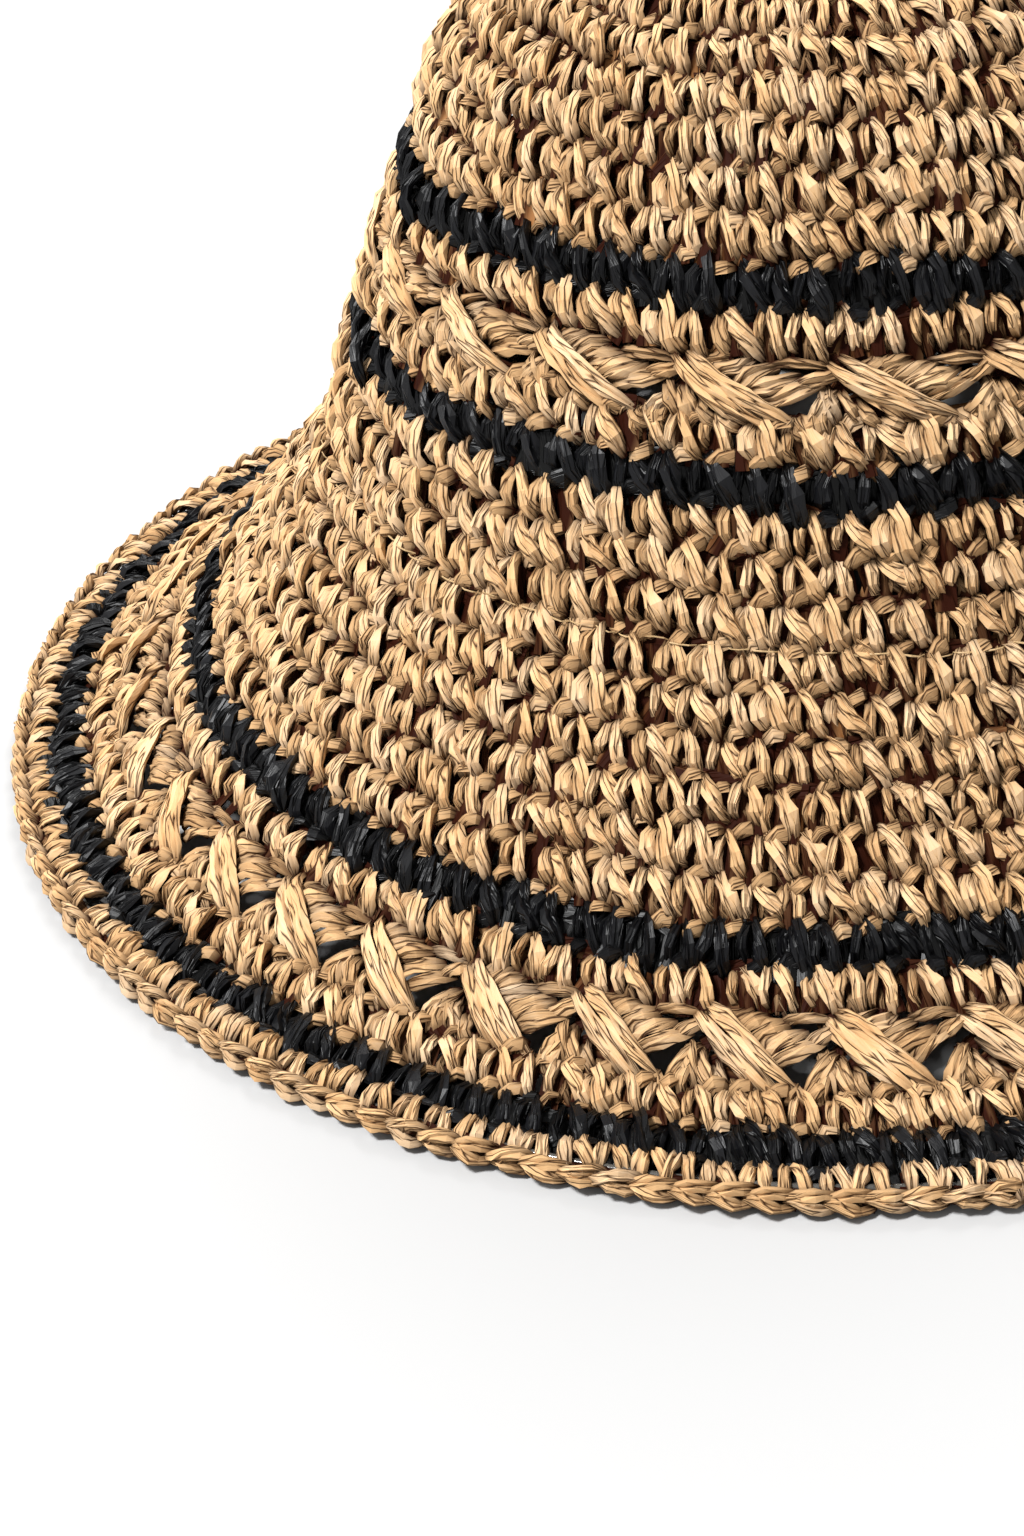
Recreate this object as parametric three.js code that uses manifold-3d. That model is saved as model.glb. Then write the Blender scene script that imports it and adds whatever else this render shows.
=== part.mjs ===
// A crocheted straw hat: a rounded crown that flares into a short brim, worked from the top down in
// rounds of stitches, with four dark rounds, two bands of openwork, a clear wire and a plait at the rim,
// and a dark ribbon inside the base of the crown. Millimetres, +Z up, the rim rests on the plane z = 0
// and the hat's axis is the Z axis.

import * as THREE from 'three';
import Module from 'manifold-3d';
import { mergeVertices } from 'three/addons/utils/BufferGeometryUtils.js';

// Driving dimensions
const brimRadius = 160;       // axis to the outside of the rim
const hatHeight = 160.5;      // plane of the rim to the middle of the wall at the crown's centre
const wallThickness = 2.6;    // straw wall in the groove between two rounds
const roundRelief = 0.8;      // how far the belly of a round stands proud of its grooves
const pieceGap = 0.3;         // clear gap between neighbouring pieces
const plaitThickness = 4.2;   // the plait that finishes the rim
const plaitFoot = 1.6;        // width of the plait's flat underside
const wireThickness = 1.3;    // the clear wire beside the plait
const ribbonWidth = 34;       // sweatband, along the wall
const ribbonThickness = 1;
const ribbonGap = 0.5;        // clear gap between the ribbon and the wall
const crownMotifs = 20;       // repeats of the openwork round the crown
const brimMotifs = 40;        // and round the brim
const crownHole = { length: 8.5, width: 4.2, slant: 32 };   // slant in degrees, up to the left
const brimHole = { length: 8, width: 4.2, slant: 32 };
const sides = 32;             // facets round the hat
const innerStepsPerRound = 0.6;
const plaitSides = 8;
const wireSides = 6;

// The middle of the wall from the crown's centre to the brim: reach is a share of brimRadius, rise of hatHeight.
const meridianStations = [
  { place: 'centre', reach: 0, rise: 1 },
  { place: 'tip', reach: 0.085, rise: 0.998 },
  { place: 'tip', reach: 0.171, rise: 0.985 },
  { place: 'shoulder', reach: 0.257, rise: 0.957 },
  { place: 'shoulder', reach: 0.33, rise: 0.915 },
  { place: 'shoulder', reach: 0.391, rise: 0.851 },
  { place: 'side', reach: 0.433, rise: 0.773 },
  { place: 'side', reach: 0.467, rise: 0.69 },
  { place: 'side', reach: 0.506, rise: 0.591 },
  { place: 'side', reach: 0.532, rise: 0.506 },
  { place: 'base', reach: 0.56, rise: 0.42 },
  { place: 'flare', reach: 0.598, rise: 0.34 },
  { place: 'flare', reach: 0.648, rise: 0.265 },
  { place: 'flare', reach: 0.703, rise: 0.194 },
  { place: 'brim', reach: 0.7625, rise: 0.1275 },
  { place: 'brim', reach: 0.829, rise: 0.075 },
  { place: 'brim', reach: 0.903, rise: 0.034 },
];

// The pieces of the wall from the crown's centre outwards. rounds counts rounds of plain stitch; open is the
// height of the openwork, in rounds, that lies between the first and the last of them.
const wallPieces = [
  { name: 'crown_tip', rounds: 8, open: 0, straw: 'natural' },
  { name: 'crown_shoulder', rounds: 5, open: 0, straw: 'natural' },
  { name: 'crown_stripe_upper', rounds: 1, open: 0, straw: 'dark' },
  { name: 'crown_openwork', rounds: 2, open: 1.39, straw: 'natural', motifs: crownMotifs, hole: crownHole },
  { name: 'crown_stripe_lower', rounds: 1, open: 0, straw: 'dark' },
  { name: 'crown_flare', rounds: 9, open: 0, straw: 'natural' },
  { name: 'brim_stripe_upper', rounds: 1, open: 0, straw: 'dark' },
  { name: 'brim_openwork', rounds: 2, open: 1.81, straw: 'natural', motifs: brimMotifs, hole: brimHole },
  { name: 'brim_stripe_lower', rounds: 1, open: 0, straw: 'dark' },
  { name: 'brim_last_round', rounds: 0.5, open: 0, straw: 'natural' },
];
const ribbonStartRounds = 0.3;   // the ribbon starts this far below the lower crown stripe, in rounds

const finishes = {
  natural: { color: 0xcda672, roughness: 0.6, metalness: 0 },
  dark: { color: 0x1d1d1f, roughness: 0.5, metalness: 0 },
  ribbon: { color: 0x2e2b2a, roughness: 0.85, metalness: 0 },
  clear: { color: 0xe9eef0, roughness: 0.15, metalness: 0, transparent: true, opacity: 0.5 },
};

const wasm = await Module();
wasm.setup();

// The meridian, and where each piece of the wall starts and ends along it
const plaitReach = brimRadius - plaitThickness / 2;
const stationPoints = meridianStations.map(
  ({ reach, rise }) => new THREE.Vector3(reach * brimRadius, rise * hatHeight, 0));
stationPoints.push(new THREE.Vector3(plaitReach, plaitThickness / 2, 0));
const meridian = new THREE.CatmullRomCurve3(stationPoints, false, 'centripetal');
meridian.arcLengthDivisions = 1200;
const meridianLength = meridian.getLength();
const plaitStart = meridianLength - plaitThickness / 2;
const wireStart = plaitStart - pieceGap - wireThickness;
const wallLength = wireStart - pieceGap;
const totalRounds = wallPieces.reduce((sum, piece) => sum + piece.rounds + piece.open, 0);
const roundHeight = wallLength / totalRounds;

// A point at a distance along the meridian, moved out from the wall's middle along its normal
function wallPoint(distance, offset) {
  const share = THREE.MathUtils.clamp(distance / meridianLength, 0, 1);
  const point = meridian.getPointAt(share);
  const along = meridian.getTangentAt(share);
  const reach = share === 0 ? 0 : point.x - along.y * offset;
  return new THREE.Vector2(reach, point.y + along.x * offset);
}

// A profile in (reach, height) turned about the hat's axis
function revolve(profile) {
  return new THREE.LatheGeometry(profile, sides).rotateX(Math.PI / 2);
}

// Distances of the grooves and bellies of a stretch of rounds, with the outer offset of each
function ribStations(start, rounds) {
  const stations = [{ distance: start, offset: wallThickness / 2 }];
  const count = Math.max(1, Math.round(rounds));
  const pitch = rounds * roundHeight / count;
  for (let round = 0; round < count; round += 1) {
    stations.push({ distance: start + (round + 0.5) * pitch, offset: wallThickness / 2 + roundRelief });
    stations.push({ distance: start + (round + 1) * pitch, offset: wallThickness / 2 });
  }
  return stations;
}

// The outer skin of one piece: ribbed in plain rounds, flat across the openwork
function outerStations({ rounds, open }, start) {
  if (!open) return ribStations(start, rounds);
  const above = ribStations(start, rounds / 2);
  const below = ribStations(start + (rounds / 2 + open) * roundHeight, rounds / 2);
  return [...above, ...below];
}

// The cross-section of a piece of the wall, closed on itself or ending on the axis
function wallProfile(piece, start) {
  const end = start + (piece.rounds + piece.open) * roundHeight;
  const first = start === 0 ? 0 : start + pieceGap / 2;
  const last = end - pieceGap / 2;
  const outer = outerStations(piece, start).map(
    ({ distance, offset }) => wallPoint(THREE.MathUtils.clamp(distance, first, last), offset));
  const steps = Math.max(1, Math.round((piece.rounds + piece.open) * innerStepsPerRound));
  const inner = [];
  for (let step = 0; step <= steps; step += 1) {
    inner.push(wallPoint(THREE.MathUtils.lerp(first, last, step / steps), -wallThickness / 2));
  }
  const profile = [...inner, ...outer.reverse()];
  if (start > 0) profile.push(profile[0].clone());
  return profile;
}

function toSolid(geometry) {
  geometry.deleteAttribute('normal');
  geometry.deleteAttribute('uv');
  const merged = mergeVertices(geometry, 1e-4);
  return new wasm.Manifold(new wasm.Mesh({
    numProp: 3,
    vertProperties: new Float32Array(merged.attributes.position.array),
    triVerts: new Uint32Array(merged.index.array),
  }));
}

function fromSolid(solid) {
  const { vertProperties, triVerts } = solid.getMesh();
  const geometry = new THREE.BufferGeometry();
  geometry.setAttribute('position', new THREE.BufferAttribute(new Float32Array(vertProperties), 3));
  geometry.setIndex(new THREE.BufferAttribute(new Uint32Array(triVerts), 1));
  geometry.computeVertexNormals();
  return geometry;
}

// One hole of the openwork: a slanting six-sided prism through the wall
function holeCutter({ length, width, slant }, distance, bearing) {
  const outline = new THREE.Shape([
    new THREE.Vector2(-length / 2, 0),
    new THREE.Vector2(-length / 4, -width / 2),
    new THREE.Vector2(length / 4, -width / 2),
    new THREE.Vector2(length / 2, 0),
    new THREE.Vector2(length / 4, width / 2),
    new THREE.Vector2(-length / 4, width / 2),
  ]);
  const depth = 4 * wallThickness;
  const prism = new THREE.ExtrudeGeometry(outline, { depth, steps: 1, bevelEnabled: false });
  prism.translate(0, 0, -depth / 2);
  prism.rotateZ(THREE.MathUtils.degToRad(-slant));
  const centre = wallPoint(distance, 0);
  const ahead = meridian.getTangentAt(distance / meridianLength);
  const round = new THREE.Vector3(-Math.sin(bearing), Math.cos(bearing), 0);
  const radial = new THREE.Vector3(Math.cos(bearing), Math.sin(bearing), 0);
  const outward = radial.clone().multiplyScalar(-ahead.y).add(new THREE.Vector3(0, 0, ahead.x));
  const up = new THREE.Vector3().crossVectors(outward, round);
  const placing = new THREE.Matrix4().makeBasis(round, up, outward);
  placing.setPosition(radial.multiplyScalar(centre.x).add(new THREE.Vector3(0, 0, centre.y)));
  return prism.applyMatrix4(placing);
}

function pierce(geometry, piece, start) {
  const middle = start + (piece.rounds + piece.open) * roundHeight / 2;
  let solid = toSolid(geometry);
  for (let motif = 0; motif < piece.motifs; motif += 1) {
    const bearing = 2 * Math.PI * (motif + 0.5) / piece.motifs;
    solid = solid.subtract(toSolid(holeCutter(piece.hole, middle, bearing)));
  }
  return fromSolid(solid);
}

function makePiece(name, geometry, finish) {
  const mesh = new THREE.Mesh(geometry, new THREE.MeshStandardMaterial(finishes[finish]));
  mesh.name = name;
  return mesh;
}

// A ring of round section about a point of the meridian, cut flat underneath where a foot is given
function cordRing(distance, thickness, cordSides, foot) {
  const centre = wallPoint(distance, 0);
  const profile = [];
  for (let side = 0; side <= cordSides; side += 1) {
    const turn = 2 * Math.PI * (side + 0.5) / cordSides;
    profile.push(new THREE.Vector2(
      centre.x + Math.cos(turn) * thickness / 2, centre.y + Math.sin(turn) * thickness / 2));
  }
  if (foot) {
    profile.filter((point) => point.y < centre.y - thickness / 4).forEach((point) => {
      point.y = 0;
      point.x = centre.x + Math.sign(point.x - centre.x) * foot / 2;
    });
  }
  return revolve(profile);
}

// The sweatband lies against the inside of the wall, from just below the lower crown stripe
function sweatband(start) {
  const profile = [];
  const steps = 4;
  const face = -(wallThickness / 2 + ribbonGap);
  for (let step = 0; step <= steps; step += 1) {
    profile.push(wallPoint(start + ribbonWidth * step / steps, face - ribbonThickness));
  }
  for (let step = steps; step >= 0; step -= 1) {
    profile.push(wallPoint(start + ribbonWidth * step / steps, face));
  }
  profile.push(profile[0].clone());
  return makePiece('sweatband', revolve(profile), 'ribbon');
}

const hat = new THREE.Group();
let start = 0;
for (const piece of wallPieces) {
  const ring = revolve(wallProfile(piece, start));
  const geometry = piece.motifs ? pierce(ring, piece, start) : ring;
  hat.add(makePiece(piece.name, geometry, piece.straw));
  start += (piece.rounds + piece.open) * roundHeight;
  if (piece.name === 'crown_stripe_lower') hat.add(sweatband(start + ribbonStartRounds * roundHeight));
}
hat.add(makePiece('brim_wire', cordRing(wireStart + wireThickness / 2, wireThickness, wireSides), 'clear'));
hat.add(makePiece('rim_plait', cordRing(meridianLength, plaitThickness, plaitSides, plaitFoot), 'natural'));

export default hat;
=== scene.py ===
"""A crocheted paper-straw hat: every leg, loop and crossed strand of it is a folded straw of its own."""

import math
from collections import namedtuple

import bpy
import numpy as np
from mathutils import Matrix, Vector


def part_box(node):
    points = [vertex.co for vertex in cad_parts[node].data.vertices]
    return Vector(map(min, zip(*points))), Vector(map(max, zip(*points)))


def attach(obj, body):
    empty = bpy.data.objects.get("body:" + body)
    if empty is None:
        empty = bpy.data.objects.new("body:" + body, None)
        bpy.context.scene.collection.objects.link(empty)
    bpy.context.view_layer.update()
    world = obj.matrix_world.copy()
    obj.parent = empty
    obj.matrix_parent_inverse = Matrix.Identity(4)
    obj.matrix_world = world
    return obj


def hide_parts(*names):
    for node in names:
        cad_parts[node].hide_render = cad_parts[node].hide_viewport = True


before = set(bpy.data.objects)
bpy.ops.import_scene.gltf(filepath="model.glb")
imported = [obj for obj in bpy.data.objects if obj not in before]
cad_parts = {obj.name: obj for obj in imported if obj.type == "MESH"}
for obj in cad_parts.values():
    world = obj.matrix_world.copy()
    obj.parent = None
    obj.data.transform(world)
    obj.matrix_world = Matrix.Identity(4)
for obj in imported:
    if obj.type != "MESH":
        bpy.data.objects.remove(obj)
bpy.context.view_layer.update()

MM = 0.001
SEED = 7

# The hat's profile, which is the middle of the straw wall, from the crown's centre outwards. A station is a
# share of the brim's radius and a share of the hat's height, as in the solids.
WALL_TOP = 2.1 * MM               # from the middle of the wall to the highest point of the solids
BRIM_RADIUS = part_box("rim_plait")[1].y
HAT_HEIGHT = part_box("crown_tip")[1].z - WALL_TOP
STATIONS = [
    (0.0, 1.0), (0.085, 0.998), (0.171, 0.985), (0.257, 0.957), (0.33, 0.915), (0.391, 0.851),
    (0.433, 0.773), (0.467, 0.69), (0.506, 0.591), (0.532, 0.506), (0.56, 0.42), (0.598, 0.34),
    (0.648, 0.265), (0.703, 0.194), (0.7625, 0.1275), (0.829, 0.075), (0.903, 0.034),
]
PROFILE_POINTS = 1200

PIECE_GAP = 0.3 * MM
PLAIT_THICKNESS = 4.2 * MM
PLAIT_INSET = 0.8 * MM            # the plait's links lie this far before the end of the profile
PLAIT_TILT = math.radians(42)     # the plait leans over the edge of the brim
WIRE_THICKNESS = 1.3 * MM
RIBBON_WIDTH = 34 * MM
RIBBON_THICKNESS = 0.6 * MM
RIBBON_FACE = -2.7 * MM           # the ribbon's outer face, from the middle of the wall
RIBBON_START = 0.3                # below the lower dark round of the crown, in rounds
THREAD_HEIGHT = 60 * MM           # of the ribbon's seam, above the floor
THREAD_STITCH = 4.5 * MM

# The rounds, from the crown's centre outwards. rounds is how many there are, and open the height of the
# openwork after the first of them, in rounds. first is the stitches of the first round, growth how many more
# each next one has, and most what it may have. The flare's rounds are a little taller than in the solids, and
# the last round is shorter, which puts the brim's dark rounds where the real hat has them.
Rounds = namedtuple("Rounds", "node rounds open first growth most straw")
ROUNDS = [
    Rounds("crown_tip", 8, 0, 8, 8, 64, "natural"),
    Rounds("crown_shoulder", 5, 0, 72, 8, 80, "natural"),
    Rounds("crown_stripe_upper", 1, 0, 80, 0, 80, "dark"),
    Rounds("crown_openwork", 2, 1.39, 80, 0, 80, "natural"),
    Rounds("crown_stripe_lower", 1, 0, 80, 0, 80, "dark"),
    Rounds("crown_flare", 9.27, 0, 84, 5, 130, "natural"),
    Rounds("brim_stripe_upper", 1, 0, 131, 0, 131, "dark"),
    Rounds("brim_openwork", 2, 1.81, 136, 24, 160, "natural"),
    Rounds("brim_stripe_lower", 1, 0, 164, 0, 164, "dark"),
    Rounds("brim_last_round", 0.23, 0, 168, 0, 168, "natural"),
]
MOTIFS = {"crown_openwork": 20, "brim_openwork": 40}
MOTIF_VARIANTS = 8
LEAN_PER_ROUND = -0.2             # how far each round's stitches shift along the round, in stitches
NOMINAL_PITCH = 6.3 * MM          # the width and height that the shapes of the stitches are drawn for
NOMINAL_ROUND = 7.2 * MM


def catmull_rom(points, count):
    """Points along a smooth curve through the given ones, evenly spaced along it, and the curve's length."""
    points = np.array(points, float)
    padded = np.vstack([2 * points[0] - points[1], points, 2 * points[-1] - points[-2]])
    fine = []
    steps = 24
    for i in range(1, len(padded) - 2):
        p0, p1, p2, p3 = padded[i - 1:i + 3]
        for t in np.arange(steps) / steps:
            fine.append(0.5 * (2 * p1 + (p2 - p0) * t + (2 * p0 - 5 * p1 + 4 * p2 - p3) * t ** 2
                               + (3 * p1 - p0 - 3 * p2 + p3) * t ** 3))
    fine.append(padded[-2])
    fine = np.array(fine)
    lengths = np.concatenate([[0], np.cumsum(np.linalg.norm(np.diff(fine, axis=0), axis=1))])
    even = np.linspace(0, lengths[-1], count)
    return np.stack([np.interp(even, lengths, fine[:, k]) for k in range(fine.shape[1])], axis=1), lengths[-1]


profile_points = [(reach * BRIM_RADIUS, rise * HAT_HEIGHT) for reach, rise in STATIONS]
profile_points.append((BRIM_RADIUS - PLAIT_THICKNESS / 2, PLAIT_THICKNESS / 2))
MERIDIAN, MERIDIAN_LENGTH = catmull_rom(profile_points, PROFILE_POINTS)
WIRE_START = MERIDIAN_LENGTH - PLAIT_THICKNESS / 2 - PIECE_GAP - WIRE_THICKNESS
WALL_LENGTH = WIRE_START - PIECE_GAP
ROUND_HEIGHT = WALL_LENGTH / sum(piece.rounds + piece.open for piece in ROUNDS)


def surface(bearing, distance, offset=0.0):
    """A point of the wall's middle, moved out along the normal, with its right, up and out directions."""
    last = len(MERIDIAN) - 1
    share = np.clip(distance / MERIDIAN_LENGTH, 0, 1) * last
    low = int(min(share, last - 1))
    reach, height = MERIDIAN[low] + (MERIDIAN[low + 1] - MERIDIAN[low]) * (share - low)
    run, fall = MERIDIAN[min(low + 3, last)] - MERIDIAN[max(low - 2, 0)]
    norm = math.hypot(run, fall)
    run, fall = run / norm, fall / norm
    radial = Vector((math.cos(bearing), math.sin(bearing), 0))
    right = Vector((-math.sin(bearing), math.cos(bearing), 0))
    up = -(radial * run + Vector((0, 0, fall)))
    out = right.cross(up)
    return radial * reach + Vector((0, 0, height)) + out * offset, right, up, out


def reach_at(distance):
    """How far the wall's middle is from the hat's axis, at a distance along the profile."""
    share = np.clip(distance / MERIDIAN_LENGTH, 0, 1) * (len(MERIDIAN) - 1)
    return np.interp(share, np.arange(len(MERIDIAN)), MERIDIAN[:, 0])


# Straw strands

# Outlines of a folded paper straw, across and out, for a strand two wide and two thick
SECTIONS = {
    "folded": [(-1, -0.1), (-0.66, 0.66), (-0.28, 0.3), (0.12, 1.0), (0.5, 0.5), (0.98, 0.1), (0.4, -0.8),
               (-0.5, -0.8)],
    "plump": [(-1, -0.1), (-0.5, 0.85), (0.02, 0.38), (0.5, 0.95), (1, 0.0), (0.0, -0.9)],
    "flat": [(-1, -0.1), (-0.35, 0.85), (0.4, 0.6), (1, 0.0), (0.0, -0.8)],
    "thin": [(-1, 0.0), (0.1, 0.9), (1, 0.0), (0.0, -0.8)],
    "fibre": [(-1, -0.5), (0.1, 0.9), (1, -0.5)],
}
INNER_CORNER = -0.5        # corners of an outline below this face the inside of the hat
UV_LENGTH = 8.0            # one unit of U along a strand, in millimetres
WALL_CORE = -0.9           # where the straw wall is deepest and its painted shade darkest, in millimetres out
INNER_GAIN = 4             # how much faster the painted shade lightens from there towards the inside
SWELL_POWER = 0.6          # less than 1, so that a strand widens fast near its ends
LEAST_THICKNESS = 0.3      # of a strand's ends, as a share of its middle

# How uneven the straw is by hand: the spreads of normal draws
PATH_SPREAD = 0.18         # of a strand's points, in millimetres
OUTLINE_SPREAD = (0.09, 0.1)    # of a strand's corners, across and out, in half widths
RING_SPREAD = (0.08, 0.16)      # of each ring's corners, across and out
SWELL_SPREAD = 0.08
ROLL_SPREAD = 0.3          # radians
TWIST, TWIST_SPREAD = 0.9, 0.6  # radians from end to end
TONE_SPREAD = 0.07


class Shape:
    """A mesh under construction, made of straw strands, with UV along and across each strand.

    bend is how much the wall that it lies on curves along the round, in 1/mm.
    """

    def __init__(self, bend=0.0):
        self.bend = bend
        self.vertices, self.faces, self.uvs, self.tones, self.depths = [], [], [], [], []

    def strand(self, rng, path, width, thickness, rings=8, section="folded", ends=(0.6, 0.6),
               spread=PATH_SPREAD, tone=0.0):
        """One strand through path, a list of (right, up, out) in millimetres, widest in its middle.

        ends are the widths of its two ends, as shares of the middle. The last argument is painted shade: it
        makes the strand's outer side lighter or darker, on top of its random tone.
        """
        path = np.array(path, float)
        path[1:-1] += rng.normal(0, spread, path[1:-1].shape)
        points, length = catmull_rom(path, rings)
        tangents = np.gradient(points, axis=0)
        tangents /= np.linalg.norm(tangents, axis=1)[:, None]
        mirror = rng.choice((-1, 1))
        outline = [(a * mirror + rng.normal(0, OUTLINE_SPREAD[0]), b + rng.normal(0, OUTLINE_SPREAD[1]))
                   for a, b in SECTIONS[section]]
        shift = rng.random()
        roll = rng.normal(0, ROLL_SPREAD)
        twist = rng.normal(TWIST, TWIST_SPREAD) if rings > 2 else 0.0
        strand_tone_and_shade = tone + rng.normal(0, TONE_SPREAD)
        first = len(self.vertices)
        for ring, (point, tangent) in enumerate(zip(points, tangents)):
            share = ring / (rings - 1)
            across = np.cross(tangent, (0, 0, 1.0))
            across /= max(np.linalg.norm(across), 1e-6)
            out = np.cross(across, tangent)
            turn = roll + twist * (share - 0.5)
            across, out = (across * math.cos(turn) + out * math.sin(turn),
                           out * math.cos(turn) - across * math.sin(turn))
            end = ends[0] if share < 0.5 else ends[1]
            swell = math.sin(math.pi * share) ** SWELL_POWER * (1 - end) + end
            swell *= 1 + rng.normal(0, SWELL_SPREAD)
            half_width = width / 2 * swell
            half_thickness = thickness / 2 * (LEAST_THICKNESS + (1 - LEAST_THICKNESS) * swell)
            for a, b in outline:
                a = a + rng.normal(0, RING_SPREAD[0])
                b = b * (1 + rng.normal(0, RING_SPREAD[1]))
                right, up, rise = point + across * a * half_width + out * b * half_thickness
                self.vertices.append(Vector((right, up, rise - self.bend * right ** 2 / 2)) * MM)
                # Painted shade on the outer corners; corners that face the inside of the hat keep only the
                # random tone
                self.tones.append(strand_tone_and_shade if b > INNER_CORNER else strand_tone_and_shade - tone)
                # For painted shade: how far a corner lies from the core of the wall, where straw is painted
                # darkest
                above = rise - WALL_CORE
                self.depths.append(above if above > 0 else -above * INNER_GAIN)
        self.skin(first, rings, len(outline), mirror > 0, shift, length)

    def skin(self, first, rings, sides, upright, shift, length):
        """The faces of a strand. A mirrored outline runs the other way round, and so do its faces."""
        for ring in range(rings - 1):
            for side in range(sides):
                a = first + ring * sides + side
                b = first + ring * sides + (side + 1) % sides
                face = (a, b, b + sides, a + sides)
                u0, u1 = (shift + (ring + step) / (rings - 1) * length / UV_LENGTH for step in (0, 1))
                v0, v1 = side / sides, (side + 1) / sides
                corners = [(u0, v0), (u0, v1), (u1, v1), (u1, v0)]
                self.faces.append(face if upright else face[::-1])
                self.uvs.append(corners if upright else corners[::-1])
        for ring in (0, rings - 1):
            cap = tuple(first + ring * sides + side for side in range(sides))
            self.faces.append(cap[::-1] if (ring == 0) == upright else cap)
            self.uvs.append([(shift, side / sides) for side in range(sides)])

    def make(self, name):
        mesh = bpy.data.meshes.new(name)
        mesh.from_pydata([tuple(v) for v in self.vertices], [], self.faces)
        uv_map = mesh.uv_layers.new(name="StrandUV")
        uv_map.data.foreach_set("uv", np.array([c for face in self.uvs for c in face], np.float32).ravel())
        for key, values in (("tone", self.tones), ("depth", self.depths)):
            attribute = mesh.attributes.new(key, "FLOAT", "POINT")
            attribute.data.foreach_set("value", np.array(values, np.float32))
        mesh.shade_flat()
        return bpy.data.objects.new(name, mesh)


# The shapes of the stitches. Widths, thicknesses and points are in millimetres, and a point is right, up and
# out from the top left of its stitch.

LEG_LEAN = 0.4             # spread of how far the foot of a leg strays along the round
SHORT_LEG_LEAN = 0.2
FOOT_SPREAD = 0.3
LOOSE_PAINTED_SHADE = -0.1          # painted shade: loose fibres and loops are darkened, as they lie in the shade of the legs
BACK_PAINTED_SHADE = -0.6           # painted shade: the straw behind is darkened on its outer side, as it lies deep behind the legs
# painted shade: the plait's core, under its legs, is darkened on its outer side
CORE_PAINTED_SHADE = -0.5


def leg_pair(rng):
    """The front of one single crochet: an upright leg, a leaning one, and the fibres between their feet."""
    shape = Shape()
    lean = rng.normal(0, LEG_LEAN)
    upright_leg = [(0.8, 0.3, -0.9), (0.3, -0.7, 0.8), (0.2, -2.6, 1.6), (0.5 + lean, -4.5, 1.3),
                   (1.4 + lean, -6.2, -0.7)]
    shape.strand(rng, upright_leg, 2.75 * rng.uniform(0.8, 1.12), 1.8, rings=6, section="plump",
                 ends=(0.55, 0.35))
    lean = rng.normal(0, LEG_LEAN)
    leaning_leg = [(1.2, 0.8, -0.8), (2.0, -0.1, 1.2), (3.3, -2.2, 2.15), (4.7 + lean, -4.6, 1.7),
                   (5.9 + lean, -7.2, -0.7)]
    shape.strand(rng, leaning_leg, 3.15 * rng.uniform(0.82, 1.12), 1.9, rings=7, ends=(0.6, 0.35))
    for foot in (2.6, 3.9):
        fibre = [(2.2, -2.6, -0.6), (2.5, -4.4, 0.4), (foot + rng.normal(0, FOOT_SPREAD), -7.0, -0.3)]
        shape.strand(rng, fibre, 1.5, 1.1, rings=3, section="fibre", ends=(0.7, 0.6), tone=LOOSE_PAINTED_SHADE)
    return shape


def short_pair(rng):
    """The legs of the last round, which stand close together over the wire."""
    shape = Shape()
    lean = rng.normal(0, SHORT_LEG_LEAN)
    left_leg = [(0.7, 0.3, -0.8), (0.4, -0.7, 0.9), (0.1, -2.6, 1.5), (lean, -4.4, 1.1),
                (0.2 + lean, -6.2, -0.4)]
    right_leg = [(2.0, 0.4, -0.8), (2.5, -0.6, 1.0), (3.2, -2.6, 1.6), (3.8 + lean, -4.4, 1.2),
                 (4.1 + lean, -6.2, -0.4)]
    for leg in (left_leg, right_leg):
        shape.strand(rng, leg, 2.7, 1.8, rings=6, section="plump", ends=(0.7, 0.8))
    return shape


def front_loop(rng):
    """The loop of the round above that each stitch hangs from."""
    shape = Shape()
    loop = [(2.0, -1.1, -0.9), (2.8, -0.3, 0.5), (3.9, 0.4, 1.0), (5.0, 0.8, 0.6), (5.8, 0.8, -0.9)]
    shape.strand(rng, loop, 2.6 * rng.uniform(0.8, 1.15), 1.5, rings=5, section="flat", ends=(0.7, 0.65),
                 tone=LOOSE_PAINTED_SHADE)
    return shape


def back_bar(rng):
    """The straw behind the legs, which closes the wall and is what the inside shows."""
    shape = Shape()
    for width, path in ((4.2, [(-1.4, -0.4, -1.0), (6.4, -0.7, -1.2)]),
                        (2.4, [(1.6, -0.8, -0.5), (2.6, -7.4, -0.7)]),
                        (3.2, [(5.0, -1.0, -0.9), (5.9, -7.6, -1.1)]),
                        (3.4, [(2.0, -1.4, -1.2), (-0.8, -7.4, -1.3)])):
        shape.strand(rng, path, width, 1.1, rings=2, section="thin", ends=(1, 1), tone=BACK_PAINTED_SHADE)
    return shape


def thread_stitch(rng):
    """One machine stitch, which dips into the straw at both ends."""
    shape = Shape()
    stitch = [(0.0, 0.0, -0.2), (1.2, 0.1, 1.5), (3.2, -0.1, 1.7), (4.4, 0.0, -0.1)]
    shape.strand(rng, stitch, 0.28, 0.28, rings=5, section="thin", ends=(0.9, 0.9), spread=0.2)
    return shape


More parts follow.
